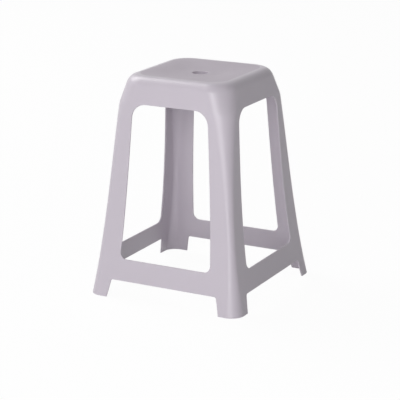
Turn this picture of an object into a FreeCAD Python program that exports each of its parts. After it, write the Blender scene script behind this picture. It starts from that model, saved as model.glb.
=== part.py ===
import FreeCAD, Part
import math
import os
import Sketcher
from FreeCAD import Placement, Rotation, Vector

# A one-piece stacking stool. Millimetres and degrees, +Z up, front towards -Y.
# The origin is on the floor, under the middle of the seat.
# A half is measured from the middle of the stool to the outer face, and a lean from the vertical.
SIZES = {
    # The outer form, from the floor up
    "stool_height": 464.0,
    "foot_half": 178.0,
    "waist_lean": 3.2,
    "shoulder_drop": 64.0,
    "shoulder_radius": 75.0,
    "shoulder_lean": 12.5,
    "roll_radius": 23.0,
    "rim_half": 102.2,
    "wall": 3.0,
    # The seat dips from its rim to a flat land round the finger hole
    "seat_dip": 5.6,
    "land_half": 28.0,
    # The radius of the four corners, seen from above. They are tightest at the leg_height.
    "foot_corner": 29.0,
    "leg_height": 170.0,
    "leg_corner": 13.5,
    "shoulder_corner": 47.0,
    "rim_corner": 35.0,
    "land_corner": 26.0,
    # The window in each side, from the rail's top edge, its sill, to the apron's lower edge, its head
    "rail_depth": 45.5,
    "sill_half": 106.0,
    "sill_corner": 14.0,
    "apron_depth": 54.0,
    "head_half": 86.3,
    "head_corner": 31.0,
    # The gap between the feet, under each rail
    "gap_height": 38.0,
    "gap_half": 123.5,
    "gap_floor_half": 132.0,
    "gap_corner": 6.0,
    # The seat panel and what it carries below
    "panel_inset": 1.5,
    "hole_radius": 16.5,
    "hole_lip": 1.2,
    "collar_wall": 2.5,
    "collar_depth": 9.0,
    "rib_thickness": 2.0,
    "rib_depth": 10.0,
    # The stops that carry the next stool in a stack
    "stack_pitch": 54.0,
    "stop_thickness": 2.5,
    "stop_reach": 124.0,
}

# How far the cutters run past what they cut
CLEAR = 20.0

# How finely the side's profile is set out: down the leg, over the bend of the shoulder, up the band
# above it, over the roll and down the dip. Each step down the leg is longer than the last.
LEG_STEPS = 8
LEG_GROWTH = 1.5
BEND_STEPS = 3
BAND_STEPS = 4
ROLL_STEPS = 5
DIP_STEPS = 6

# How far the inner form runs on, so that it cuts through the floor
FLOOR_OVERRUN = 1.05

# The sides and corners in order, each a quarter turn on from the one before
SIDES = ("front", "right", "back", "left")
CORNERS = ("front_right", "back_right", "back_left", "front_left")
QUARTER_ANGLE = 90
DIAGONAL_ANGLE = 45

# Sizes that follow from the driving ones, as expressions of the sheet's cells
panel_half = "(Sizes.rim_half - Sizes.panel_inset)"
panel_corner = "(Sizes.rim_corner - Sizes.panel_inset)"
land_height = "(Sizes.stool_height - Sizes.seat_dip)"
underside = f"({land_height} - Sizes.wall)"
sill_height = "(Sizes.gap_height + Sizes.rail_depth)"
head_height = "(Sizes.stool_height - Sizes.apron_depth)"
window_middle = f"(({sill_height} + {head_height}) / 2)"
rail_half = "(Sizes.sill_half - Sizes.sill_corner)"
apron_half = "(Sizes.head_half - Sizes.head_corner)"
collar_radius = "(Sizes.hole_radius + Sizes.collar_wall)"
rib_foot = f"({underside} - Sizes.rib_depth)"
reach = f"(Sizes.foot_half + {CLEAR})"


def make_sheet(doc):
    sheet = doc.addObject("Spreadsheet::Sheet", "Sizes")
    for row, (alias, value) in enumerate(SIZES.items(), start=1):
        sheet.set(f"A{row}", alias)
        sheet.set(f"B{row}", str(value))
        sheet.setAlias(f"B{row}", alias)
    doc.recompute()
    return sheet


def value_of(sheet, expression):
    return float(sheet.evalExpression(str(expression)))


# The profile of a side, as points of half, corner radius and height, inset from the outer face.
# It flares up the leg, bends in at the shoulder, rolls over the rim and dips to the land.
def profile_points(sheet, inset, overrun):
    waist, shoulder = (math.radians(lean) for lean in (sheet.waist_lean, sheet.shoulder_lean))
    waist_height = sheet.stool_height - sheet.shoulder_drop
    roll_half = sheet.rim_half + sheet.roll_radius * math.cos(shoulder)
    roll_height = sheet.stool_height - sheet.roll_radius * (1 - math.sin(shoulder))
    bend_height = waist_height + sheet.shoulder_radius * (math.sin(shoulder) - math.sin(waist))
    bend_half = roll_half + (roll_height - bend_height) * math.tan(shoulder)
    waist_half = bend_half + sheet.shoulder_radius * (math.cos(waist) - math.cos(shoulder))

    def wall_point(half, height, lean):
        return inset_point(half, wall_corner(sheet, height, roll_height), height, lean, inset)

    points = leg_points(sheet, waist_height, waist_half, roll_height, inset, overrun)
    for share in steps(BEND_STEPS):
        lean = waist + (shoulder - waist) * share
        half = waist_half - sheet.shoulder_radius * (math.cos(waist) - math.cos(lean))
        height = waist_height + sheet.shoulder_radius * (math.sin(lean) - math.sin(waist))
        points.append(wall_point(half, height, lean))
    for share in steps(BAND_STEPS)[1:]:
        half = bend_half + (roll_half - bend_half) * share
        height = bend_height + (roll_height - bend_height) * share
        points.append(wall_point(half, height, shoulder))
    for share in steps(ROLL_STEPS)[1:]:
        lean = shoulder + (math.pi / 2 - shoulder) * share
        half = roll_half - sheet.roll_radius * (math.cos(shoulder) - math.cos(lean))
        height = roll_height + sheet.roll_radius * (math.sin(lean) - math.sin(shoulder))
        points.append(inset_point(half, roll_corner(sheet, roll_height, share), height, lean, inset))
    return points + dip_points(sheet, inset)


def leg_points(sheet, waist_height, waist_half, roll_height, inset, overrun):
    straight_flare = waist_height * math.tan(math.radians(sheet.waist_lean))
    curved_flare = sheet.foot_half - waist_half - straight_flare
    points = []
    for step in range(LEG_STEPS, 0, -1):
        # The share runs from 0 at the waist to 1 at the floor
        share = (LEG_GROWTH ** step - 1) / (LEG_GROWTH ** LEG_STEPS - 1) * overrun
        half = waist_half + straight_flare * share + curved_flare * share ** 3
        height = waist_height * (1 - share)
        points.append(Vector(half - inset, wall_corner(sheet, height, roll_height) - inset, height))
    return points


# The dip is half a wave, level at the rim and at the land
def dip_points(sheet, inset):
    width = sheet.rim_half - sheet.land_half
    points = []
    for share in steps(DIP_STEPS)[1:]:
        corner = sheet.rim_corner + (sheet.land_corner - sheet.rim_corner) * share
        height = sheet.stool_height - sheet.seat_dip * (1 - math.cos(math.pi * share)) / 2
        slope = sheet.seat_dip * math.pi / 2 * math.sin(math.pi * share) / width
        lean = math.pi / 2 + math.atan(slope)
        points.append(inset_point(sheet.rim_half - width * share, corner, height, lean, inset))
    return points


# The corner's radius up the wall: two parabolas that meet where it is tightest
def wall_corner(sheet, height, roll_height):
    if height < sheet.leg_height:
        return sheet.leg_corner + (sheet.foot_corner - sheet.leg_corner) * (1 - height / sheet.leg_height) ** 2
    share = (height - sheet.leg_height) / (roll_height - sheet.leg_height)
    return sheet.leg_corner + (sheet.shoulder_corner - sheet.leg_corner) * share ** 2


# Over the roll the radius passes smoothly from the wall's change to the dip's
def roll_corner(sheet, roll_height, share):
    shoulder = math.radians(sheet.shoulder_lean)
    run = sheet.roll_radius * (math.pi / 2 - shoulder)
    wall_change = 2 * (sheet.shoulder_corner - sheet.leg_corner) / (roll_height - sheet.leg_height)
    wall_change *= math.cos(shoulder) * run
    dip_change = (sheet.land_corner - sheet.rim_corner) / (sheet.rim_half - sheet.land_half) * run
    turn = sheet.rim_corner - sheet.shoulder_corner
    bend = (wall_change - turn) * (1 - share) + (turn - dip_change) * share
    return sheet.shoulder_corner + turn * share + bend * share * (1 - share)


def inset_point(half, corner, height, lean, inset):
    inward, down = inset * math.cos(lean), inset * math.sin(lean)
    return Vector(half - inward, corner - inward, height - down)


def turns(places):
    return {place: QUARTER_ANGLE * count for count, place in enumerate(places)}


def steps(count):
    return [step / count for step in range(count + 1)]


# A solid with four flat-sided walls and four round corners that follow one profile all the way up.
# A loft through this many sections folds, so the profile's own spline carries the surfaces.
def make_form(doc, sheet, name, inset, overrun):
    profile = Part.BSplineCurve()
    profile.interpolate(Points=profile_points(sheet, inset, overrun))
    poles = profile.getPoles()
    walls = []
    for turn_angle in turns(SIDES).values():
        turn = Rotation(Vector(0, 0, 1), turn_angle)
        wall = [(Vector(p.y - p.x, -p.x, p.z), Vector(p.x - p.y, -p.x, p.z)) for p in poles]
        corner = [
            (Vector(p.x - p.y, -p.x, p.z), Vector(p.x, -p.x, p.z), Vector(p.x, p.y - p.x, p.z)) for p in poles
        ]
        for rows, weights in ((wall, (1, 1)), (corner, (1, math.sqrt(0.5), 1))):
            surface = Part.BSplineSurface()
            surface.buildFromPolesMultsKnots(
                [[turn.multVec(point) for point in row] for row in rows],
                profile.getMultiplicities(), [len(weights)] * 2, profile.getKnots(), [0.0, 1.0],
                False, False, profile.Degree, len(weights) - 1, [list(weights)] * len(rows),
            )
            walls.append(surface.toShape())
    ends = [end_face(walls, height) for height in (poles[0].z, poles[-1].z)]
    shell = Part.makeShell(walls + ends)
    shell.sewShape()
    solid = Part.Solid(shell)
    if solid.Volume < 0:
        solid.reverse()
    form = doc.addObject("Part::Feature", name)
    form.Shape = solid
    form.Placement = Placement()
    return form


def end_face(walls, height):
    edges = [
        edge for wall in walls for edge in wall.Edges
        if all(math.isclose(vertex.Z, height, abs_tol=1e-6) for vertex in edge.Vertexes)
    ]
    return Part.Face(Part.Wire(Part.__sortEdges__(edges)))


def origin_plane(body, role):
    return next(item for item in body.Origin.OriginFeatures if item.Role == role)


# A four-sided outline, symmetric about the vertical, that stands on the sketch's horizontal axis
def rounded_outline(body, name, role, sheet, bottom_half, top_half, tall, low_corner, high_corner):
    sketch = body.newObject("Sketcher::SketchObject", name)
    sketch.AttachmentSupport = [(origin_plane(body, role), "")]
    sketch.MapMode = "FlatFace"
    low, high, top = (value_of(sheet, item) for item in (bottom_half, top_half, tall))
    low_r, high_r = value_of(sheet, low_corner), value_of(sheet, high_corner)
    along = Vector(high - low, top, 0).normalize()
    inward = Vector(-along.y, along.x, 0)
    low_centre = corner_centre(Vector(low, 0, 0), along, inward, low_r, low_r)
    high_centre = corner_centre(Vector(low, 0, 0), along, inward, high_r, top - high_r)
    turn = math.atan2(-inward.y, -inward.x)
    right = (low_centre - inward * low_r, high_centre - inward * high_r)
    sketch.addGeometry(line(Vector(-low_centre.x, 0, 0), Vector(low_centre.x, 0, 0)))
    sketch.addGeometry(arc(low_centre, low_r, -math.pi / 2, turn))
    sketch.addGeometry(line(*right))
    sketch.addGeometry(arc(high_centre, high_r, turn, math.pi / 2))
    sketch.addGeometry(line(Vector(high_centre.x, top, 0), Vector(-high_centre.x, top, 0)))
    sketch.addGeometry(arc(mirrored(high_centre), high_r, math.pi / 2, math.pi - turn))
    sketch.addGeometry(line(mirrored(right[1]), mirrored(right[0])))
    sketch.addGeometry(arc(mirrored(low_centre), low_r, math.pi - turn, math.pi * 3 / 2))
    # The two points where the side line meets the bottom and the top
    sketch.addGeometry(Part.Point(Vector(low, 0, 0)), True)
    sketch.addGeometry(Part.Point(Vector(high, top, 0)), True)
    for edge in range(8):
        sketch.addConstraint(Sketcher.Constraint("Tangent", edge, 2, (edge + 1) % 8, 1))
    for constraint in (
        Sketcher.Constraint("Equal", 1, 7),
        Sketcher.Constraint("Equal", 3, 5),
        Sketcher.Constraint("Symmetric", 1, 3, 7, 3, -2),
        Sketcher.Constraint("Symmetric", 3, 3, 5, 3, -2),
        Sketcher.Constraint("PointOnObject", 0, 1, -1),
        Sketcher.Constraint("PointOnObject", 8, 1, -1),
        Sketcher.Constraint("PointOnObject", 8, 1, 2),
        Sketcher.Constraint("PointOnObject", 9, 1, 4),
        Sketcher.Constraint("PointOnObject", 9, 1, 2),
    ):
        sketch.addConstraint(constraint)
    for label, constraint, size in (
        ("bottom_half", Sketcher.Constraint("DistanceX", -1, 1, 8, 1, low), bottom_half),
        ("top_half", Sketcher.Constraint("DistanceX", -1, 1, 9, 1, high), top_half),
        ("tall", Sketcher.Constraint("DistanceY", -1, 1, 9, 1, top), tall),
        ("low_corner", Sketcher.Constraint("Radius", 1, low_r), low_corner),
        ("high_corner", Sketcher.Constraint("Radius", 3, high_r), high_corner),
    ):
        sketch.renameConstraint(sketch.addConstraint(constraint), label)
        sketch.setExpression(f"Constraints.{label}", size)
    return sketch


def corner_centre(foot, along, inward, radius, height):
    start = foot + inward * radius
    return start + along * ((height - start.y) / along.y)


def mirrored(point):
    return Vector(-point.x, point.y, point.z)


def line(start, end):
    return Part.LineSegment(start, end)


def arc(centre, radius, start, end):
    return Part.ArcOfCircle(Part.Circle(centre, Vector(0, 0, 1), radius), start, end)


def square_section(body, name, sheet, height, half, corner):
    sketch = rounded_outline(body, name, "XY_Plane", sheet, half, half, f"({half}) * 2", corner, corner)
    sketch.setExpression("AttachmentOffset.Base.y", f"-({half})")
    sketch.setExpression("AttachmentOffset.Base.z", height)
    return sketch


# A body that runs right through the stool, along Y for the front and back and along X for the sides
def make_cutter(doc, sheet, name, role, base, *outline):
    body = doc.addObject("PartDesign::Body", name)
    sketch = rounded_outline(body, f"{name}Outline", role, sheet, *outline)
    sketch.setExpression("AttachmentOffset.Base.y", base)
    pad = body.newObject("PartDesign::Pad", f"{name}Pad")
    pad.Profile = sketch
    pad.SideType = "Symmetric"
    pad.setExpression("Length", f"{reach} * 2")
    doc.recompute()
    return body


def make_window_cutters(doc, sheet):
    tall = f"{head_height} - {sill_height}"
    outline = ("Sizes.sill_half", "Sizes.head_half", tall, "Sizes.sill_corner", "Sizes.head_corner")
    return [
        make_cutter(doc, sheet, f"Window{role[:2]}", role, sill_height, *outline)
        for role in ("XZ_Plane", "YZ_Plane")
    ]


def make_gap_cutters(doc, sheet):
    slope = "(Sizes.gap_floor_half - Sizes.gap_half) / Sizes.gap_height"
    bottom_half = f"Sizes.gap_floor_half + {slope} * {CLEAR}"
    tall = f"Sizes.gap_height + {CLEAR}"
    outline = (bottom_half, "Sizes.gap_half", tall, "Sizes.gap_corner", "Sizes.gap_corner")
    return [
        make_cutter(doc, sheet, f"Gap{role[:2]}", role, f"-{CLEAR}", *outline)
        for role in ("XZ_Plane", "YZ_Plane")
    ]


def make_box(doc, name, low, high, turn=0):
    box = doc.addObject("Part::Box", name)
    for side, start, end in zip(("Length", "Width", "Height"), low, high):
        box.setExpression(side, f"({end}) - ({start})")
    # The box is set out about the stool's middle line, so a turn moves its corner too
    angle = math.radians(turn)
    across, out, up = low
    box.setExpression("Placement.Base.x", f"({across}) * {math.cos(angle)} - ({out}) * {math.sin(angle)}")
    box.setExpression("Placement.Base.y", f"({across}) * {math.sin(angle)} + ({out}) * {math.cos(angle)}")
    box.setExpression("Placement.Base.z", up)
    box.Placement.Rotation = Rotation(Vector(0, 0, 1), turn)
    return box


def make_common(doc, name, base, tool):
    common = doc.addObject("Part::Common", name)
    common.Base = base
    common.Tool = tool
    return common


def make_cut(doc, name, base, tool):
    cut = doc.addObject("Part::Cut", name)
    cut.Base = base
    cut.Tool = tool
    return cut


def make_fuse(doc, name, shapes):
    fuse = doc.addObject("Part::MultiFuse", name)
    fuse.Shapes = shapes
    return fuse


# The seat's dipped middle, with the finger hole through its land
def make_seat_panel(doc, sheet, shell, panel_region):
    blank = make_common(doc, "PanelBlank", shell, panel_region)
    low, high = f"{underside} - {CLEAR}", f"{land_height} + {CLEAR}"
    bore = make_cylinder(doc, "FingerHole", "Sizes.hole_radius", low, high)
    holed = make_cut(doc, "HoledPanel", blank, bore)
    doc.recompute()
    rim = [
        count
        for count, edge in enumerate(holed.Shape.Edges, start=1)
        if isinstance(edge.Curve, Part.Circle)
        and math.isclose(edge.Curve.Radius, sheet.hole_radius, abs_tol=1e-6)
        and math.isclose(edge.Curve.Center.z, value_of(sheet, land_height), abs_tol=1e-6)
    ]
    panel = doc.addObject("Part::Fillet", "seat_panel")
    panel.Base = holed
    panel.Edges = [(count, sheet.hole_lip, sheet.hole_lip) for count in rim]
    return panel


def make_cylinder(doc, name, radius, low, high):
    cylinder = doc.addObject("Part::Cylinder", name)
    cylinder.setExpression("Radius", radius)
    cylinder.setExpression("Height", f"({high}) - ({low})")
    cylinder.setExpression("Placement.Base.z", low)
    return cylinder


def circle_sketch(body, name, height, radii):
    sketch = body.newObject("Sketcher::SketchObject", name)
    sketch.AttachmentSupport = [(origin_plane(body, "XY_Plane"), "")]
    sketch.MapMode = "FlatFace"
    sketch.setExpression("AttachmentOffset.Base.z", height)
    for count, (label, radius) in enumerate(radii.items()):
        sketch.addGeometry(Part.Circle(Vector(0, 0, 0), Vector(0, 0, 1), 10.0 + count))
        sketch.addConstraint(Sketcher.Constraint("Coincident", count, 3, -1, 1))
        constraint = Sketcher.Constraint("Radius", count, 10.0 + count)
        sketch.renameConstraint(sketch.addConstraint(constraint), label)
        sketch.setExpression(f"Constraints.{label}", radius)
    return sketch


def make_collar(doc):
    body = doc.addObject("PartDesign::Body", "finger_hole_collar")
    radii = {"hole_radius": "Sizes.hole_radius", "collar_radius": collar_radius}
    sketch = circle_sketch(body, "CollarRing", f"{underside} - Sizes.collar_depth", radii)
    pad = body.newObject("PartDesign::Pad", "CollarPad")
    pad.Profile = sketch
    pad.setExpression("Length", "Sizes.collar_depth")
    doc.recompute()
    return body


# The moulding's wall with its windows and gaps, less the seat panel
def make_frame(doc, sheet, shell, panel_region):
    cutters = make_window_cutters(doc, sheet) + make_gap_cutters(doc, sheet)
    openings = make_fuse(doc, "Openings", cutters + [panel_region])
    return make_cut(doc, "Frame", shell, openings)


def make_panel_region(doc, sheet):
    body = doc.addObject("PartDesign::Body", "PanelRegion")
    base = f"{underside} - {CLEAR}"
    sketch = square_section(body, "PanelRegionOutline", sheet, base, panel_half, panel_corner)
    pad = body.newObject("PartDesign::Pad", "PanelRegionPad")
    pad.Profile = sketch
    pad.setExpression("Length", f"Sizes.wall + {2 * CLEAR}")
    doc.recompute()
    return body


# The members between the legs, cut square where the window's corners start
def make_side_members(doc, frame):
    above = f"Sizes.stool_height + {CLEAR}"
    spans = {
        "apron": (apron_half, window_middle, above),
        "rail": (rail_half, f"-{CLEAR}", window_middle),
    }
    members = []
    regions = []
    for member, (half, low, high) in spans.items():
        for side, turn in turns(SIDES).items():
            region = make_box(
                doc, f"{member}_{side}_region", (f"-{half}", f"-{reach}", low), (half, "0", high), turn
            )
            members.append(make_common(doc, f"{member}_{side}", frame, region))
            regions.append(region)
    return members, regions


def make_legs(doc, frame, side_regions):
    legs = make_cut(doc, "Legs", frame, make_fuse(doc, "SideRegions", side_regions))
    above = f"Sizes.stool_height + {CLEAR}"
    members = []
    for corner, turn in turns(CORNERS).items():
        region = make_box(
            doc, f"leg_{corner}_region", ("0", f"-{reach}", f"-{CLEAR}"), (reach, "0", above), turn
        )
        members.append(make_common(doc, f"leg_{corner}", legs, region))
    return members


# Ribs stand on the underside of the seat, from the collar out to the wall
def make_ribs(doc, inner):
    collar = make_cylinder(doc, "CollarRegion", collar_radius, "0", "Sizes.stool_height")
    half = "Sizes.rib_thickness / 2"
    # The boxes stand above the underside, so that the inner form trims them there
    high = (half, "0", "Sizes.stool_height")
    places = {f"seat_rib_{side}": turn for side, turn in turns(SIDES).items()}
    for corner, turn in turns(CORNERS).items():
        places[f"corner_rib_{corner}"] = turn + DIAGONAL_ANGLE
    ribs = []
    for name, turn in places.items():
        box = make_box(doc, f"{name}_box", (f"-{half}", f"-{reach}", rib_foot), high, turn)
        trimmed = make_common(doc, f"{name}_trimmed", box, inner)
        ribs.append(make_cut(doc, name, trimmed, collar))
    return ribs


# A stop hangs in each corner from the outer end of its rib
def make_stops(doc, inner):
    half = "Sizes.stop_thickness / 2"
    low = (f"-{half}", f"-{reach}", "Sizes.stool_height - Sizes.stack_pitch")
    high = (half, "-Sizes.stop_reach", rib_foot)
    stops = []
    for corner, turn in turns(CORNERS).items():
        box = make_box(doc, f"stacking_stop_{corner}_box", low, high, turn + DIAGONAL_ANGLE)
        stops.append(make_common(doc, f"stacking_stop_{corner}", box, inner))
    return stops


def write_parts(doc, members):
    for item in doc.Objects:
        if {"Invalid", "Error"} & set(item.State):
            raise RuntimeError(f"{item.Label} did not recompute: {item.State}")
    for member in members:
        if member.Shape.isNull() or not member.Shape.isValid() or len(member.Shape.Solids) != 1:
            raise RuntimeError(f"{member.Label} is not one sound solid")
    os.makedirs("parts", exist_ok=True)
    for member in members:
        member.Shape.exportStep(f"parts/{member.Label}.step")
        print(member.Label, round(member.Shape.Volume), "mm3")


def main():
    doc = FreeCAD.newDocument("StackingStool")
    sheet = make_sheet(doc)
    outer = make_form(doc, sheet, "OuterForm", 0.0, 1.0)
    inner = make_form(doc, sheet, "InnerForm", sheet.wall, FLOOR_OVERRUN)
    shell = make_cut(doc, "Shell", outer, inner)
    panel_region = make_panel_region(doc, sheet)
    frame = make_frame(doc, sheet, shell, panel_region)
    side_members, side_regions = make_side_members(doc, frame)
    members = [make_seat_panel(doc, sheet, shell, panel_region), make_collar(doc)]
    members += side_members
    members += make_legs(doc, frame, side_regions)
    members += make_ribs(doc, inner)
    members += make_stops(doc, inner)
    doc.recompute()
    write_parts(doc, members)


main()
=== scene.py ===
import math

import bmesh
import bpy
from mathutils import Matrix, Vector


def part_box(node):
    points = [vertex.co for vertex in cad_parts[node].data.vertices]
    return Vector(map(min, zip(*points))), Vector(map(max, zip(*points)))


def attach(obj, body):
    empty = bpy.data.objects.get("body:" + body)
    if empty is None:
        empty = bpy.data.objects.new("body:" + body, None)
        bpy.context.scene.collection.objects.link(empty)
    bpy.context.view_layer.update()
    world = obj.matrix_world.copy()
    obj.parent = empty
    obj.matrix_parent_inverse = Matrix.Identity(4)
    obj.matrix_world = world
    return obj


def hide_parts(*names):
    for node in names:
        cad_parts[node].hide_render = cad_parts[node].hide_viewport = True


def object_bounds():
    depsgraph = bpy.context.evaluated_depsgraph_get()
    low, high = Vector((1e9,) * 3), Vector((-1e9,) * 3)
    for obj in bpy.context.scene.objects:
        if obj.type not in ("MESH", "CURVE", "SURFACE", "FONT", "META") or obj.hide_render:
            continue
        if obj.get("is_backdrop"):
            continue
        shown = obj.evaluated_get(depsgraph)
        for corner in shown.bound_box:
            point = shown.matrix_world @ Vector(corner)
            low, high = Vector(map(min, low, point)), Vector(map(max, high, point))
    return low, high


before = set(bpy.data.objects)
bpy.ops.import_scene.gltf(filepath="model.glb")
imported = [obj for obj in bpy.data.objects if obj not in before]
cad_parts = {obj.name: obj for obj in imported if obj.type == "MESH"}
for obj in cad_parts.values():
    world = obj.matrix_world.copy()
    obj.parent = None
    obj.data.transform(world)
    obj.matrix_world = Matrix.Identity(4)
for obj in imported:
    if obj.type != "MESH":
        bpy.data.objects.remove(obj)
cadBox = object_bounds()
print("frame loaded")

# Everything is in metres. The front is towards -Y, and each corner is named by the sides it joins.
sides = ["front", "right", "back", "left"]
corners = ["front_right", "back_right", "back_left", "front_left"]


def boxOf(node):
    low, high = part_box(node)
    return Vector(low), Vector(high)


seatHeight = boxOf("seat_panel")[1].z
footHalf = boxOf("leg_front_right")[1].x
panelHalf = boxOf("seat_panel")[1].x
railLow, railHigh = boxOf("rail_front")
apronLow = boxOf("apron_front")[0]
stopLow, stopHigh = boxOf("stacking_stop_front_right")
ribLow, ribHigh = boxOf("seat_rib_right")
collarLow, collarHigh = boxOf("finger_hole_collar")

panelInset = 0.0015  # how far inside the rim the seat's panel ends
profileShape = {
    "waistHeight": 0.400,  # where the shoulder's bend begins
    "waistLean": math.radians(3.2),
    "shoulderRadius": 0.075,
    "shoulderLean": math.radians(12.5),
    "rollRadius": 0.023,  # the round of the seat's edge
    "rimHalf": panelHalf + panelInset,
    "dip": 0.0056,  # how far the seat's middle lies below its rim
    "landHalf": 0.028,  # the flat land round the finger hole
    "footCorner": 0.029,
    "legHeight": 0.170,  # where the four corners are tightest
    "legCorner": 0.0135,
    "shoulderCorner": 0.047,
    "rimCorner": 0.035,
    "landCorner": 0.026,
    "wall": 0.003,
    "footBlend": 0.1,  # below this height the wall's thickness turns level, so that the feet stand flat
    "edgeRound": 0.0008,
}


# The side's profile by its run, the length travelled up the wall from the floor to the seat's land
def makeProfile(shape):
    waist, shoulder, rollRadius = shape["waistLean"], shape["shoulderLean"], shape["rollRadius"]
    rollHalf = shape["rimHalf"] + rollRadius * math.cos(shoulder)
    rollHeight = seatHeight - rollRadius * (1 - math.sin(shoulder))
    bendHeight = shape["waistHeight"] + shape["shoulderRadius"] * (math.sin(shoulder) - math.sin(waist))
    bendHalf = rollHalf + (rollHeight - bendHeight) * math.tan(shoulder)
    waistHalf = bendHalf + shape["shoulderRadius"] * (math.cos(waist) - math.cos(shoulder))
    bendEnd = shape["waistHeight"] + shape["shoulderRadius"] * (shoulder - waist)
    bandEnd = bendEnd + (rollHeight - bendHeight) / math.cos(shoulder)
    rollRun = rollRadius * (math.pi / 2 - shoulder)
    dipRun = shape["rimHalf"] - shape["landHalf"]
    rollEnd = bandEnd + rollRun
    straightFlare = shape["waistHeight"] * math.tan(waist)
    curvedFlare = footHalf - waistHalf - straightFlare
    cornerGrowth = shape["shoulderCorner"] - shape["legCorner"]

    # Two parabolas that meet where the corner is tightest
    def wallCorner(height):
        if height < shape["legHeight"]:
            share = 1 - height / shape["legHeight"]
            return shape["legCorner"] + (shape["footCorner"] - shape["legCorner"]) * share ** 2
        share = (height - shape["legHeight"]) / (rollHeight - shape["legHeight"])
        return shape["legCorner"] + cornerGrowth * share ** 2

    # Over the roll the corner passes smoothly from the wall's change to the dip's
    def rollCorner(share):
        turn = shape["rimCorner"] - shape["shoulderCorner"]
        wallChange = 2 * cornerGrowth / (rollHeight - shape["legHeight"]) * math.cos(shoulder) * rollRun
        dipChange = (shape["landCorner"] - shape["rimCorner"]) / dipRun * rollRun
        bend = (wallChange - turn) * (1 - share) + (turn - dipChange) * share
        return shape["shoulderCorner"] + turn * share + bend * share * (1 - share)

    def place(run):
        if run <= shape["waistHeight"]:
            share = 1 - run / shape["waistHeight"]
            return waistHalf + straightFlare * share + curvedFlare * share ** 3, wallCorner(run), run
        if run <= bendEnd:
            lean = waist + (run - shape["waistHeight"]) / shape["shoulderRadius"]
            half = waistHalf - shape["shoulderRadius"] * (math.cos(waist) - math.cos(lean))
            height = shape["waistHeight"] + shape["shoulderRadius"] * (math.sin(lean) - math.sin(waist))
            return half, wallCorner(height), height
        if run <= bandEnd:
            height = bendHeight + (run - bendEnd) * math.cos(shoulder)
            return bendHalf - (run - bendEnd) * math.sin(shoulder), wallCorner(height), height
        if run <= rollEnd:
            lean = shoulder + (run - bandEnd) / rollRadius
            half = rollHalf - rollRadius * (math.cos(shoulder) - math.cos(lean))
            height = rollHeight + rollRadius * (math.sin(lean) - math.sin(shoulder))
            return half, rollCorner((run - bandEnd) / rollRun), height
        share = (run - rollEnd) / dipRun
        fall = (1 - math.cos(math.pi * min(share, 1.0))) / 2
        corner = shape["rimCorner"] + (shape["landCorner"] - shape["rimCorner"]) * share
        return shape["rimHalf"] - dipRun * share, corner, seatHeight - shape["dip"] * fall

    def runAt(height):
        if height <= shape["waistHeight"]:
            return height
        rise = (height - shape["waistHeight"]) / shape["shoulderRadius"]
        return shape["waistHeight"] + shape["shoulderRadius"] * (math.asin(rise + math.sin(waist)) - waist)

    ends = {"bend": bendEnd, "band": bandEnd, "roll": rollEnd, "dip": rollEnd + dipRun}
    return place, runAt, ends


placeAt, runAt, runEnds = makeProfile(profileShape)
wall = profileShape["wall"]
edgeRound = profileShape["edgeRound"]


# One level of the form: its half, corner and height, and how they change along the run
def levelAt(run):
    step = 1e-5
    half, corner, height = placeAt(run)
    before, after = placeAt(max(run - step, 0.0)), placeAt(run + step)
    change = [upper - lower for lower, upper in zip(before, after)]
    lean = math.atan2(-change[0], change[2])
    return {"half": half, "corner": corner, "height": height, "change": change, "lean": lean}


# A quarter of a level's outline, from the middle of the front, round a corner, to the middle of the right
def quarterLength(level):
    return 2 * (level["half"] - level["corner"]) + level["corner"] * math.pi / 2


# The half of a level's straight part, and the turn round the corner at a distance along the outline
def outlineDirection(level, along):
    flat = level["half"] - level["corner"]
    turn = min(max((abs(along) - flat) / level["corner"], 0.0), math.pi / 2)
    return flat, turn


def skinPoint(level, along):
    flat, turn = outlineDirection(level, along)
    across, out = math.sin(turn), math.cos(turn)
    past = max(abs(along) - flat - level["corner"] * math.pi / 2, 0.0)
    x = min(abs(along), flat) + level["corner"] * across
    y = -flat - level["corner"] * out + past
    dHalf, dCorner, dHeight = level["change"]
    swell = (dHalf - dCorner) * (across + out) + dCorner
    side = -1 if along < 0 else 1
    outer = Vector((x * side, y, level["height"]))
    normal = Vector((across * dHeight * side, -out * dHeight, -swell)).normalized()
    lean = level["lean"] * min(level["height"] / profileShape["footBlend"], 1.0)
    depth = Vector((across * math.cos(lean) * side, -out * math.cos(lean), math.sin(lean)))
    inner = outer - depth * wall
    return outer, inner, normal


def upTheWall(level):
    return Vector((0, math.sin(level["lean"]), math.cos(level["lean"])))


def blendSteps(count):
    return [step / count for step in range(count + 1)]


# Half of an opening's edge, grown into the plastic: x, height, and the way into the opening
def openingEdge(lowHalf, highHalf, low, high, lowCorner, highCorner, grow, steps):
    along = Vector((highHalf - lowHalf, high - low)).normalized()
    away = Vector((along.y, -along.x))
    awayTurn = math.atan2(away.y, away.x)
    lowCentre = Vector((lowHalf - lowCorner * (1 + away.y) / away.x, low + lowCorner))
    highCentre = Vector((highHalf - highCorner * (1 - away.y) / away.x, high - highCorner))
    edge = []
    if lowCorner > 0:
        for share in blendSteps(steps["low"]):
            turn = -math.pi / 2 + (awayTurn + math.pi / 2) * share
            edge.append((lowCentre, lowCorner + grow, turn))
    else:
        edge.append((lowCentre, grow, awayTurn))
    for share in blendSteps(steps["side"])[1:-1]:
        radius = lowCorner + (highCorner - lowCorner) * share
        edge.append((lowCentre.lerp(highCentre, share), radius + grow, awayTurn))
    for share in blendSteps(steps["high"]):
        turn = awayTurn + (math.pi / 2 - awayTurn) * share
        edge.append((highCentre, highCorner + grow, turn))
    stations = []
    for centre, radius, turn in edge:
        way = Vector((math.cos(turn), math.sin(turn)))
        point = centre + way * radius
        stations.append((point.x, point.y, -way))
    return stations


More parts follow.
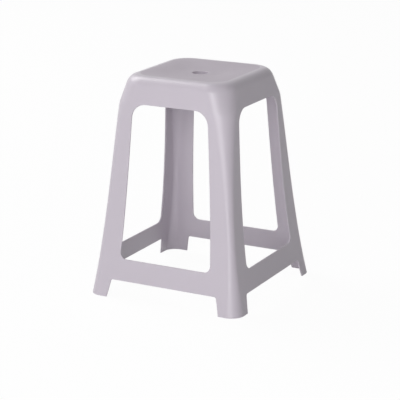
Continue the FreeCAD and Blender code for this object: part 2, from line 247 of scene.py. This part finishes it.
windowShape = {
    "lowHalf": 0.106,
    "highHalf": 0.0863,
    "low": railHigh.z,
    "high": apronLow.z,
    "lowCorner": 0.014,
    "highCorner": 0.031,
    "grow": edgeRound,
    "steps": {"low": 12, "side": 40, "high": 18},
}
gapShape = {
    "lowHalf": 0.132,
    "highHalf": 0.1235,
    "low": 0.0,
    "high": railLow.z,
    "lowCorner": 0.0,
    "highCorner": 0.006,
    "grow": edgeRound,
    "steps": {"low": 1, "side": 10, "high": 8},
}
windowEdge = openingEdge(**windowShape)
gapEdge = [station for station in openingEdge(**gapShape) if station[1] > edgeRound]
gapSlope = (gapShape["highHalf"] - gapShape["lowHalf"]) / gapShape["high"]
footX = gapEdge[0][0] - gapSlope * (gapEdge[0][1] - edgeRound)
gapEdge.insert(0, (footX, edgeRound, gapEdge[0][2]))
railEnd = windowEdge[0][0]
apronEnd = windowEdge[-1][0]

legColumns = {"edge": 8, "corner": 16}  # columns over a strip beside the opening, and on to the diagonal
railRows = 5
railColumns = 24
apronColumns = 24
rimSteps = 4


# A mesh under construction: points with their shading normals, and faces, of which some are flat cuts
def newShell():
    return {"points": [], "normals": [], "faces": [], "cuts": []}


def addPoint(shell, point, normal):
    shell["points"].append(point)
    shell["normals"].append(normal)
    return len(shell["points"]) - 1


def addFace(shell, loop, cut=False):
    kept = [point for count, point in enumerate(loop) if point != loop[count - 1]]
    if len(kept) > 2:
        shell["cuts" if cut else "faces"].append(kept)


def addSkinRow(shell, level, alongs):
    outerRow, innerRow = [], []
    for along in alongs:
        outer, inner, normal = skinPoint(level, along)
        outerRow.append(addPoint(shell, outer, normal))
        innerRow.append(addPoint(shell, inner, -normal))
    return outerRow, innerRow


def joinRows(shell, lower, upper):
    for count in range(len(lower) - 1):
        addFace(shell, (lower[count], lower[count + 1], upper[count + 1], upper[count]))


# The rounded edge that closes the wall at an opening. A station is an outer point, an inner point and
# the way out into the opening.
def addRim(shell, stations):
    turns = [share * math.pi / 2 for share in blendSteps(rimSteps)[1:]]
    rings = []
    for outer, inner, way in stations:
        outerPoint, innerPoint = shell["points"][outer], shell["points"][inner]
        facing = (outerPoint - innerPoint).normalized()
        way = way.normalized()
        ring = [outer]
        for turn in turns:
            offset = way * math.sin(turn) - facing * (1 - math.cos(turn))
            normal = way * math.sin(turn) + facing * math.cos(turn)
            ring.append(addPoint(shell, outerPoint + offset * edgeRound, normal))
        for turn in reversed(turns):
            offset = way * math.sin(turn) + facing * (1 - math.cos(turn))
            normal = way * math.sin(turn) - facing * math.cos(turn)
            ring.append(addPoint(shell, innerPoint + offset * edgeRound, normal))
        ring.append(inner)
        rings.append(ring)
    for before, after in zip(rings, rings[1:]):
        joinRows(shell, before, after)
    return rings


# A flat cut through the wall, from row to row, with the rims' ends closed
def addCut(shell, outers, inners, rings=()):
    for count in range(len(outers) - 1):
        addFace(shell, (outers[count], outers[count + 1], inners[count + 1], inners[count]), cut=True)
    for ring in rings:
        addFace(shell, ring, cut=True)


def turned(vector, quarters):
    return Matrix.Rotation(quarters * math.pi / 2, 3, "Z") @ vector


def makePiece(name, shell, material, node, slotName, quarters=0):
    build = bmesh.new()
    for point in shell["points"]:
        build.verts.new(turned(point, quarters))
    build.verts.ensure_lookup_table()
    for loop in shell["faces"] + shell["cuts"]:
        face = build.faces.new([build.verts[point] for point in loop])
        face.smooth = True
    cutKeys = {frozenset(loop) for loop in shell["cuts"]}
    bmesh.ops.recalc_face_normals(build, faces=build.faces)
    mesh = bpy.data.meshes.new(name)
    build.to_mesh(mesh)
    build.free()
    mesh.materials.append(material)
    shading = []
    for polygon in mesh.polygons:
        flat = frozenset(polygon.vertices) in cutKeys
        for vertex in polygon.vertices:
            shading.append(polygon.normal if flat else turned(shell["normals"][vertex], quarters))
    mesh.normals_split_custom_set(shading)
    piece = bpy.data.objects.new(name, mesh)
    bpy.context.scene.collection.objects.link(piece)
    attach(piece, "root")
    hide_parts(node)


# The runs above the window's head, shared by the aprons and the tops of the legs
topSteps = {"bend": 2, "band": 8, "roll": 18, "rim": 1}  # rows of faces over each stretch
panelRun = runEnds["roll"] + profileShape["rimHalf"] - panelHalf
topRuns = [runAt(apronLow.z + edgeRound)]
for stretch, runEnd in zip(topSteps, (runEnds["bend"], runEnds["band"], runEnds["roll"], panelRun)):
    start = topRuns[-1]
    topRuns += [start + (runEnd - start) * share for share in blendSteps(topSteps[stretch])[1:]]
dipSteps = 20
railFace = railHigh.z - railLow.z - 2 * edgeRound
railHeights = [railLow.z + edgeRound + railFace * share for share in blendSteps(railRows)]


# How far along the outline the apron reaches before the leg takes over
def apronReach(level):
    flat = level["half"] - level["corner"]
    if apronEnd <= flat:
        return apronEnd
    return flat + level["corner"] * math.asin((apronEnd - flat) / level["corner"])


# The leg's columns along a level's outline, over a strip beside the opening, to the diagonal and back.
# The foot between two gaps has no strips.
def legAlongs(level, start, foot=False):
    middle = quarterLength(level) / 2
    stripEnd = start if foot else start + (middle - start) * legStripShare
    alongs = []
    if not foot:
        alongs += [start + (stripEnd - start) * part for part in blendSteps(legColumns["edge"])[:-1]]
    alongs += [stripEnd + (middle - stripEnd) * part for part in blendSteps(legColumns["corner"])]
    return alongs + [2 * middle - along for along in reversed(alongs[:-1])]


# A way beside the front window or gap, as it is beside the one on the right
def mirroredWay(way):
    return Vector((-way.y, -way.x, way.z))


def wayOnFront(level, way):
    return Vector((way.x, 0, 0)) + upTheWall(level) * way.y


footLevel = levelAt(railLow.z + edgeRound)
footMiddle = quarterLength(footLevel) / 2
legStripShare = (gapEdge[-1][0] - railEnd) / (footMiddle - railEnd)


# The foot below the rails, between the two gaps, as rows from its top down
def addFoot(shell, railRow):
    strip = legColumns["edge"]
    level, _, outerRow, innerRow = railRow
    rows = [(level, outerRow[strip:-strip], innerRow[strip:-strip])]
    for x, height, _ in reversed(gapEdge[:-1]):
        level = levelAt(height)
        outerRow, innerRow = addSkinRow(shell, level, legAlongs(level, x, foot=True))
        joinRows(shell, outerRow, rows[-1][1])
        joinRows(shell, innerRow, rows[-1][2])
        rows.append((level, outerRow, innerRow))
    return rows


# One rim runs from the front rail under the leg's strip, down and round the foot, to the right rail
def addFootRim(shell, railRow, foot):
    strip = legColumns["edge"]
    level, _, outerRow, innerRow = railRow
    under = [(outer, inner, -upTheWall(level)) for outer, inner in zip(outerRow[:strip], innerRow[:strip])]
    downSide = []
    for (level, outers, inners), (_, _, way) in zip(foot, reversed(gapEdge)):
        downSide.append((outers[0], inners[0], wayOnFront(level, way)))
    down = Vector((0, 0, -1))
    outer, inner, way = downSide[-1]
    fan = [(outer, inner, way.lerp(down, share)) for share in blendSteps(rimSteps)[1:-1]]
    firstHalf = under + downSide + fan
    sole = [(outer, inner, down) for outer, inner in zip(*foot[-1][1:])]
    mirror = {}
    for points in [outerRow, innerRow] + [points for row in foot for points in row[1:]]:
        mirror.update(zip(points, reversed(points)))
    secondHalf = [(mirror[outer], mirror[inner], mirroredWay(way)) for outer, inner, way in firstHalf[::-1]]
    return addRim(shell, firstHalf + sole + secondHalf)


# The leg's two rims beside the windows, on the front and on the right
def addWindowRims(shell, grid):
    rims = []
    for side in (0, -1):
        stations = []
        for level, way, outerRow, innerRow in grid:
            if way is not None:
                wayOut = wayOnFront(level, way)
                wayOut = mirroredWay(wayOut) if side else wayOut
                stations.append((outerRow[side], innerRow[side], wayOut))
        rims.append(addRim(shell, stations))
    return rims


def makeLegShell():
    shell = newShell()
    rows = [(levelAt(height), railEnd, None) for height in railHeights[:-1]]
    rows += [(levelAt(runAt(height)), x, way) for x, height, way in windowEdge]
    for run in topRuns[1:]:
        level = levelAt(run)
        rows.append((level, apronReach(level), None))
    grid = [(level, way, *addSkinRow(shell, level, legAlongs(level, start))) for level, start, way in rows]
    for below, above in zip(grid, grid[1:]):
        joinRows(shell, below[2], above[2])
        joinRows(shell, below[3], above[3])
    foot = addFoot(shell, grid[0])
    footRim = addFootRim(shell, grid[0], foot)
    windowRims = addWindowRims(shell, grid)

    railTop = len(railHeights)
    apronStart = railTop - 1 + len(windowEdge) - 1
    for side, rim in zip((0, -1), windowRims):
        outers = [row[2][side] for row in grid]
        inners = [row[3][side] for row in grid]
        addCut(shell, outers[:railTop], inners[:railTop], (footRim[side], rim[0]))
        addCut(shell, outers[apronStart:], inners[apronStart:], (rim[-1],))
    addCut(shell, grid[-1][2], grid[-1][3])
    return shell


# A band of the wall between two legs. It ends in a rim at an opening, and in a flat cut elsewhere.
def makeBandShell(levels, reaches, columns, topRim):
    shell = newShell()
    grid = []
    for level, reach in zip(levels, reaches):
        grid.append(addSkinRow(shell, level, [-reach + 2 * reach * share for share in blendSteps(columns)]))
    for below, above in zip(grid, grid[1:]):
        joinRows(shell, below[0], above[0])
        joinRows(shell, below[1], above[1])
    rims = [addRim(shell, [(*pair, -upTheWall(levels[0])) for pair in zip(*grid[0])])]
    if topRim:
        rims.append(addRim(shell, [(*pair, upTheWall(levels[-1])) for pair in zip(*grid[-1])]))
    for side in (0, -1):
        outers = [row[0][side] for row in grid]
        inners = [row[1][side] for row in grid]
        addCut(shell, outers, inners, [rim[side] for rim in rims])
    if not topRim:
        addCut(shell, *grid[-1])
    return shell


def makeRailShell():
    levels = [levelAt(height) for height in railHeights]
    return makeBandShell(levels, [railEnd] * len(levels), railColumns, topRim=True)


def makeApronShell():
    levels = [levelAt(run) for run in topRuns]
    return makeBandShell(levels, [apronReach(level) for level in levels], apronColumns, topRim=False)


holeShape = {
    "radius": 0.0165,
    "lip": 0.0012,
    "lipSteps": 5,
    "landRings": 3,
    "collarEdge": 0.0006,
    "collarSides": 96,
}
landHeight = placeAt(runEnds["dip"])[2]
up = Vector((0, 0, 1))


# A quarter of the panel's edge, point for point where the aprons and the legs end, as shares of
# the level's straight part and of its corner
def panelShares():
    level = levelAt(panelRun)
    reach = apronReach(level)
    apron = [reach * 2 * share - reach for share in blendSteps(apronColumns)]
    length = quarterLength(level)
    quarter = apron[apronColumns // 2:] + legAlongs(level, reach)[1:]
    quarter += [length + along for along in apron[1:apronColumns // 2]]
    shares = []
    for along in quarter:
        flat, turn = outlineDirection(level, along)
        past = max(along - flat - level["corner"] * math.pi / 2, 0.0)
        shares.append((min(along, flat) / flat, turn, past / flat))
    return shares


def panelAlongs(level, shares):
    flat = level["half"] - level["corner"]
    return [before * flat + turn * level["corner"] + after * flat for before, turn, after in shares]


# One ring round the panel at a level, outside and inside
def addPanelRing(shell, level, shares):
    outerRing, innerRing = [], []
    for quarters in range(4):
        for along in panelAlongs(level, shares):
            outer, inner, normal = (turned(vector, quarters) for vector in skinPoint(level, along))
            outerRing.append(addPoint(shell, outer, normal))
            innerRing.append(addPoint(shell, inner, -normal))
    return outerRing, innerRing


def joinRings(shell, before, after):
    joinRows(shell, before + before[:1], after + after[:1])


# A ring round the finger hole, some share of the way in from the land's edge to a radius
def addHoleRing(shell, landEdge, share, radius, height, rise):
    ring = []
    for point in landEdge:
        way = Vector((point.x, point.y, 0)).normalized()
        reach = math.hypot(point.x, point.y) * (1 - share) + radius * share
        normal = up * rise - way * math.sqrt(1 - rise ** 2)
        ring.append(addPoint(shell, way * reach + up * height, normal))
    return ring


def makePanelShell():
    shell = newShell()
    shares = panelShares()
    dipRuns = [panelRun + (runEnds["dip"] - panelRun) * share for share in blendSteps(dipSteps)]
    grid = [addPanelRing(shell, levelAt(run), shares) for run in dipRuns]
    outers, inners = [rings[0] for rings in grid], [rings[1] for rings in grid]
    radius, lip = holeShape["radius"], holeShape["lip"]
    landEdge = [shell["points"][point] for point in outers[-1]]
    for share in blendSteps(holeShape["landRings"])[1:]:
        outers.append(addHoleRing(shell, landEdge, share, radius + lip, landHeight, 1.0))
    for share in blendSteps(holeShape["lipSteps"])[1:]:
        turn = share * math.pi / 2
        drop, inward = lip * (1 - math.cos(turn)), lip * (1 - math.sin(turn))
        outers.append(addHoleRing(shell, landEdge, 1.0, radius + inward, landHeight - drop, math.cos(turn)))
    outers.append(addHoleRing(shell, landEdge, 1.0, radius, landHeight - wall, 0.0))
    inners.append(addHoleRing(shell, landEdge, 1.0, radius, landHeight - wall, -1.0))
    for rings in (outers, inners):
        for before, after in zip(rings, rings[1:]):
            joinRings(shell, before, after)
    addCut(shell, outers[0] + outers[0][:1], inners[0] + inners[0][:1])
    addCut(shell, outers[-1] + outers[-1][:1], inners[-1] + inners[-1][:1])
    return shell


# The collar's section goes down inside, round its lower edges and up outside: radius, height, and the
# outward and upward parts of the way the surface faces
def collarSection():
    inside, outside = holeShape["radius"], collarHigh.x
    edge = holeShape["collarEdge"]
    section = [(inside, collarHigh.z, -1, 0), (inside, collarLow.z + edge, -1, 0)]
    turns = [share * math.pi / 2 for share in blendSteps(rimSteps)]
    for turn in turns[1:]:
        across, rise = math.cos(turn), math.sin(turn)
        section.append((inside + edge * (1 - across), collarLow.z + edge * (1 - rise), -across, -rise))
    for turn in reversed(turns):
        across, rise = math.cos(turn), math.sin(turn)
        section.append((outside - edge * (1 - across), collarLow.z + edge * (1 - rise), across, -rise))
    section.append((outside, collarHigh.z, 1, 0))
    return section


def makeCollarShell():
    shell = newShell()
    rings = []
    for radius, height, across, rise in collarSection():
        ring = []
        for share in blendSteps(holeShape["collarSides"])[:-1]:
            way = Vector((math.sin(share * 2 * math.pi), math.cos(share * 2 * math.pi), 0))
            ring.append(addPoint(shell, way * radius + up * height, way * across + up * rise))
        rings.append(ring)
    for before, after in zip(rings, rings[1:]):
        joinRings(shell, before, after)
    addCut(shell, rings[0] + rings[0][:1], rings[-1] + rings[-1][:1])
    return shell


# The inside of the wall along one direction from the middle, as points of distance out and height,
# between two heights on its way up
def innerProfile(diagonal, lowest, highest):
    line = []
    dipRuns = [panelRun + (runEnds["dip"] - panelRun) * share for share in blendSteps(dipSteps)[1:]]
    for run in [runAt(apronLow.z - wall)] + topRuns + dipRuns:
        level = levelAt(run)
        along = quarterLength(level) / 2 if diagonal else 0.0
        inner = skinPoint(level, along)[1]
        line.append((math.hypot(inner.x, inner.y), inner.z))
    kept = []
    for (out, height), (nextOut, nextHeight) in zip(line, line[1:]):
        for edge in (lowest, highest):
            if height < edge <= nextHeight:
                share = (edge - height) / (nextHeight - height)
                kept.append((out + (nextOut - out) * share, edge))
                if edge == highest:
                    return kept
        if nextHeight > lowest:
            kept.append((nextOut, nextHeight))
    return kept


plateShape = {
    "ribThickness": ribHigh.y - ribLow.y,
    "stopThickness": 0.0025,
    "stopReach": 0.124,
    "edgeRound": 0.0005,
    "edgeSteps": 3,
    "sink": 0.0004,  # how far a plate runs into the wall it stands on
}


# A flat plate in a plane through the middle line. Its free edges, at the given distance out and
# height, are rounded over.
def makePlateShell(outline, free, thickness, angle):
    shell = newShell()
    across = Vector((math.cos(angle), math.sin(angle), 0))
    out = Vector((math.sin(angle), -math.cos(angle), 0))
    edge = plateShape["edgeRound"]
    layers = []
    for share in blendSteps(plateShape["edgeSteps"]):
        turn = share * math.pi / 2
        layers.append((thickness / 2 - edge * (1 - math.sin(turn)), edge * (1 - math.cos(turn))))
    layers = [(-offset, inset) for offset, inset in reversed(layers)] + layers
    rings = []
    for offset, inset in layers:
        ring = []
        for reach, height in outline:
            reach += inset if reach == free[0] else 0.0
            height += inset if height == free[1] else 0.0
            ring.append(addPoint(shell, out * reach + up * height + across * offset, across))
        rings.append(ring)
    for before, after in zip(rings, rings[1:]):
        for count in range(len(outline)):
            addFace(shell, (before[count - 1], before[count], after[count], after[count - 1]), cut=True)
    addFace(shell, rings[0], cut=True)
    addFace(shell, rings[-1], cut=True)
    return shell


def sunk(line):
    return [(out + plateShape["sink"], height) for out, height in line]


def ribOutline(diagonal):
    inside = collarHigh.x - plateShape["sink"]
    lift = plateShape["sink"]
    line = sunk(innerProfile(diagonal, ribLow.z, seatHeight))
    top = [(out, height + lift) for out, height in line[1:]]
    return [(inside, ribLow.z), line[0]] + top + [(inside, landHeight - wall + lift)]


def stopOutline():
    reach = plateShape["stopReach"]
    line = sunk(innerProfile(True, stopLow.z, stopHigh.z))
    return [(reach, stopLow.z)] + line + [(reach, stopHigh.z)]


sideLook = {
    "colour": (0.606, 0.556, 0.622),
    "roughness": 0.33,
    "gloss": 0.5,
    "grainStrength": 0.15,
}
seatLook = {
    "colour": (0.600, 0.548, 0.609),
    "roughness": 0.6,
    "gloss": 0.25,
    "grainStrength": 0.35,
}
# What the side and the seat share. Scales are in bumps or patches per metre.
skinLook = {
    "mottle": 0.02,  # how far the colour drifts
    "mottleScale": 9.0,
    "mottleDetail": 4.0,
    "handlingScale": 35.0,  # patches rubbed a little duller or glossier
    "handlingDetail": 6.0,
    "handlingRange": (0.3, 0.7),
    "glossier": 0.04,
    "duller": 0.05,
    "grainScale": 900.0,  # the fine grain of the mould's skin
    "grainDetail": 3.0,
    "grainDepth": 0.0001,
}
dotShadeLook = {
    "places": [(-0.080, -0.0014, 0.4628), (0.055, 0.047, 0.4600)],  # painted shade where two small drain dots lie on the seat
    "radius": 0.0036,
    "darkest": 0.90,
}


def addNoise(nodes, links, place, scale, detail):
    noise = nodes.new("ShaderNodeTexNoise")
    noise.inputs["Scale"].default_value = scale
    noise.inputs["Detail"].default_value = detail
    links.new(place.outputs["Object"], noise.inputs["Vector"])
    return noise.outputs["Fac"]


# Turns a value between one pair of ends into a value between another pair
def addRange(nodes, links, value, ends, newEnds, kind="LINEAR"):
    change = nodes.new("ShaderNodeMapRange")
    change.interpolation_type = kind
    for socket, number in zip(("From Min", "From Max", "To Min", "To Max"), (*ends, *newEnds)):
        change.inputs[socket].default_value = number
    links.new(value, change.inputs["Value"])
    return change.outputs["Result"]


def addScale(nodes, links, factor):
    scaled = nodes.new("ShaderNodeVectorMath")
    scaled.operation = "SCALE"
    links.new(factor, scaled.inputs["Scale"])
    return scaled


# Each dot of painted shade darkens the colour towards its middle
def addPaintedDotShade(nodes, links, place, shade):
    for where in dotShadeLook["places"]:
        away = nodes.new("ShaderNodeVectorMath")
        away.operation = "DISTANCE"
        away.inputs[1].default_value = where
        links.new(place.outputs["Object"], away.inputs[0])
        ends, newEnds = (0.0, dotShadeLook["radius"]), (dotShadeLook["darkest"], 1.0)
        fade = addRange(nodes, links, away.outputs["Value"], ends, newEnds, kind="SMOOTHSTEP")
        dotShade = addScale(nodes, links, fade)
        links.new(shade, dotShade.inputs[0])
        shade = dotShade.outputs["Vector"]
    return shade


def makePlastic(name, look, dotShade=False):
    material = bpy.data.materials.new(name)
    material.use_nodes = True
    nodes, links = material.node_tree.nodes, material.node_tree.links
    shader = nodes["Principled BSDF"]
    shader.inputs["Specular IOR Level"].default_value = look["gloss"]
    place = nodes.new("ShaderNodeTexCoord")

    cloud = addNoise(nodes, links, place, skinLook["mottleScale"], skinLook["mottleDetail"])
    tints = (1 - skinLook["mottle"], 1 + skinLook["mottle"])
    tinted = addScale(nodes, links, addRange(nodes, links, cloud, (0.0, 1.0), tints))
    tinted.inputs[0].default_value = look["colour"]
    shade = tinted.outputs["Vector"]
    # The seat's colour carries two dots of painted shade
    if dotShade:
        shade = addPaintedDotShade(nodes, links, place, shade)
    links.new(shade, shader.inputs["Base Color"])

    handling = addNoise(nodes, links, place, skinLook["handlingScale"], skinLook["handlingDetail"])
    sheens = (look["roughness"] - skinLook["glossier"], look["roughness"] + skinLook["duller"])
    sheen = addRange(nodes, links, handling, skinLook["handlingRange"], sheens)
    links.new(sheen, shader.inputs["Roughness"])

    bump = nodes.new("ShaderNodeBump")
    bump.inputs["Strength"].default_value = look["grainStrength"]
    bump.inputs["Distance"].default_value = skinLook["grainDepth"]
    grain = addNoise(nodes, links, place, skinLook["grainScale"], skinLook["grainDetail"])
    links.new(grain, bump.inputs["Height"])
    links.new(bump.outputs["Normal"], shader.inputs["Normal"])
    return material


def makeMouldedPieces():
    sidePlastic = makePlastic("sidePlastic", sideLook)
    # The seat's material gets the painted shade of its two small drain dots
    seatPlastic = makePlastic("seatPlastic", seatLook, dotShade=True)
    sideSlot, seatSlot = "side_polypropylene", "seat_polypropylene"
    makePiece("seatPanel", makePanelShell(), seatPlastic, "seat_panel", seatSlot)
    makePiece("fingerHoleCollar", makeCollarShell(), sidePlastic, "finger_hole_collar", sideSlot)
    print("seat and collar made")
    members = {
        "leg": (makeLegShell(), corners),
        "rail": (makeRailShell(), sides),
        "apron": (makeApronShell(), sides),
    }
    for member, (shell, places) in members.items():
        for quarters, place in enumerate(places):
            makePiece(pieceName(member, place), shell, sidePlastic, f"{member}_{place}", sideSlot, quarters)
    print("legs, rails and aprons made")
    ribFree, stopFree = (None, ribLow.z), (plateShape["stopReach"], stopLow.z)
    plates = {
        "seat_rib": (ribOutline(False), ribFree, plateShape["ribThickness"], 0.0, sides),
        "corner_rib": (ribOutline(True), ribFree, plateShape["ribThickness"], math.pi / 4, corners),
        "stacking_stop": (stopOutline(), stopFree, plateShape["stopThickness"], math.pi / 4, corners),
    }
    for member, (outline, free, thickness, angle, places) in plates.items():
        shell = makePlateShell(outline, free, thickness, angle)
        for quarters, place in enumerate(places):
            makePiece(pieceName(member, place), shell, sidePlastic, f"{member}_{place}", sideSlot, quarters)
    print("ribs and stops made")


def pieceName(member, place):
    words = f"{member}_{place}".split("_")
    return words[0] + "".join(word.capitalize() for word in words[1:])


studio = {
    "worldStrength": 0.15,
    "floorHalf": 4.0,
    "floorGlow": 0.96,  # how white the floor looks where no shadow falls
    "floorColour": 0.80,  # how much light the floor sends up under the stool
}
# Soft lamps round the stool: degrees right of its front, degrees up, metres away and across, watts
lamps = {
    "frontLamp": {"azimuth": 14.0, "elevation": 10.0, "distance": 2.8, "size": 2.2, "power": 44.0},
    "sideLamp": {"azimuth": -100.0, "elevation": 45.0, "distance": 5.2, "size": 3.6, "power": 158.0},
    "glintLamp": {"azimuth": 6.0, "elevation": 22.0, "distance": 2.6, "size": 0.7, "power": 5.0},
}


# True for the rays that should see the plain white behind the stool
def backgroundRays(nodes, links):
    path = nodes.new("ShaderNodeLightPath")
    some = nodes.new("ShaderNodeMath")
    some.operation = "ADD"
    some.use_clamp = True
    links.new(path.outputs["Is Camera Ray"], some.inputs[0])
    links.new(path.outputs["Is Glossy Ray"], some.inputs[1])
    every = nodes.new("ShaderNodeMath")
    every.operation = "ADD"
    every.use_clamp = True
    links.new(some.outputs[0], every.inputs[0])
    links.new(path.outputs["Is Transmission Ray"], every.inputs[1])
    return every.outputs[0]


def makeWorld():
    world = bpy.data.worlds.new("studioWorld")
    bpy.context.scene.world = world
    world.use_nodes = True
    nodes, links = world.node_tree.nodes, world.node_tree.links
    lit = nodes["Background"]
    lit.inputs["Color"].default_value = (1, 1, 1, 1)
    lit.inputs["Strength"].default_value = studio["worldStrength"]
    seen = nodes.new("ShaderNodeBackground")
    seen.inputs["Color"].default_value = (1, 1, 1, 1)
    seen.inputs["Strength"].default_value = 1.0
    choose = nodes.new("ShaderNodeMixShader")
    links.new(backgroundRays(nodes, links), choose.inputs["Fac"])
    links.new(lit.outputs[0], choose.inputs[1])
    links.new(seen.outputs[0], choose.inputs[2])
    links.new(choose.outputs[0], nodes["World Output"].inputs["Surface"])


def makeFloor():
    material = bpy.data.materials.new("floorWhite")
    material.use_nodes = True
    nodes, links = material.node_tree.nodes, material.node_tree.links
    nodes.remove(nodes["Principled BSDF"])
    matte = nodes.new("ShaderNodeBsdfDiffuse")
    level = studio["floorColour"]
    matte.inputs["Color"].default_value = (level, level, level, 1)
    faint = nodes.new("ShaderNodeBsdfDiffuse")
    rest = 1 - studio["floorGlow"]
    faint.inputs["Color"].default_value = (rest, rest, rest, 1)
    glow = nodes.new("ShaderNodeEmission")
    glow.inputs["Strength"].default_value = studio["floorGlow"]
    seen = nodes.new("ShaderNodeAddShader")
    links.new(faint.outputs[0], seen.inputs[0])
    links.new(glow.outputs[0], seen.inputs[1])
    choose = nodes.new("ShaderNodeMixShader")
    links.new(backgroundRays(nodes, links), choose.inputs["Fac"])
    links.new(matte.outputs[0], choose.inputs[1])
    links.new(seen.outputs[0], choose.inputs[2])
    links.new(choose.outputs[0], nodes["Material Output"].inputs["Surface"])
    half = studio["floorHalf"]
    mesh = bpy.data.meshes.new("floor")
    outline = [(-half, -half, 0), (half, -half, 0), (half, half, 0), (-half, half, 0)]
    mesh.from_pydata(outline, [], [(0, 1, 2, 3)])
    mesh.materials.append(material)
    floor = bpy.data.objects.new("floor", mesh)
    bpy.context.scene.collection.objects.link(floor)
    floor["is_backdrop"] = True


def directionTo(azimuth, elevation):
    turn, rise = math.radians(azimuth), math.radians(elevation)
    return Vector((math.sin(turn) * math.cos(rise), -math.cos(turn) * math.cos(rise), math.sin(rise)))


def makeLamps():
    for name, setup in lamps.items():
        light = bpy.data.lights.new(name, "AREA")
        light.shape = "DISK"
        light.size = setup["size"]
        light.energy = setup["power"]
        lamp = bpy.data.objects.new(name, light)
        way = directionTo(setup["azimuth"], setup["elevation"])
        lamp.location = way * setup["distance"] + Vector((0, 0, seatHeight / 2))
        lamp.rotation_euler = (-way).to_track_quat("-Z", "Y").to_euler()
        bpy.context.scene.collection.objects.link(lamp)


cameraSetup = {
    "azimuth": 28.318,
    "elevation": 16.197,
    "distance": 3.3504,
    "aim": (0.0034, -0.0118, 0.1864),
    "roll": -0.295,
    "lens": 142.54,
    "sensor": 36.0,
}


def makeCamera():
    data = bpy.data.cameras.new("photoCamera")
    data.lens = cameraSetup["lens"]
    data.sensor_width = cameraSetup["sensor"]
    data.sensor_fit = "HORIZONTAL"
    camera = bpy.data.objects.new("photoCamera", data)
    way = directionTo(cameraSetup["azimuth"], cameraSetup["elevation"])
    camera.location = Vector(cameraSetup["aim"]) + way * cameraSetup["distance"]
    look = (-way).to_track_quat("-Z", "Y").to_matrix()
    camera.rotation_euler = (look @ Matrix.Rotation(math.radians(cameraSetup["roll"]), 3, "Z")).to_euler()
    bpy.context.scene.collection.objects.link(camera)
    bpy.context.scene.camera = camera


makeMouldedPieces()
makeWorld()
makeFloor()
makeLamps()
makeCamera()
bpy.context.scene.view_settings.view_transform = "Standard"
print("studio ready")

boxes = {"cad": cadBox, "visual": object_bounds()}
{name: [[float(value) for value in corner] for corner in box] for name, box in boxes.items()}
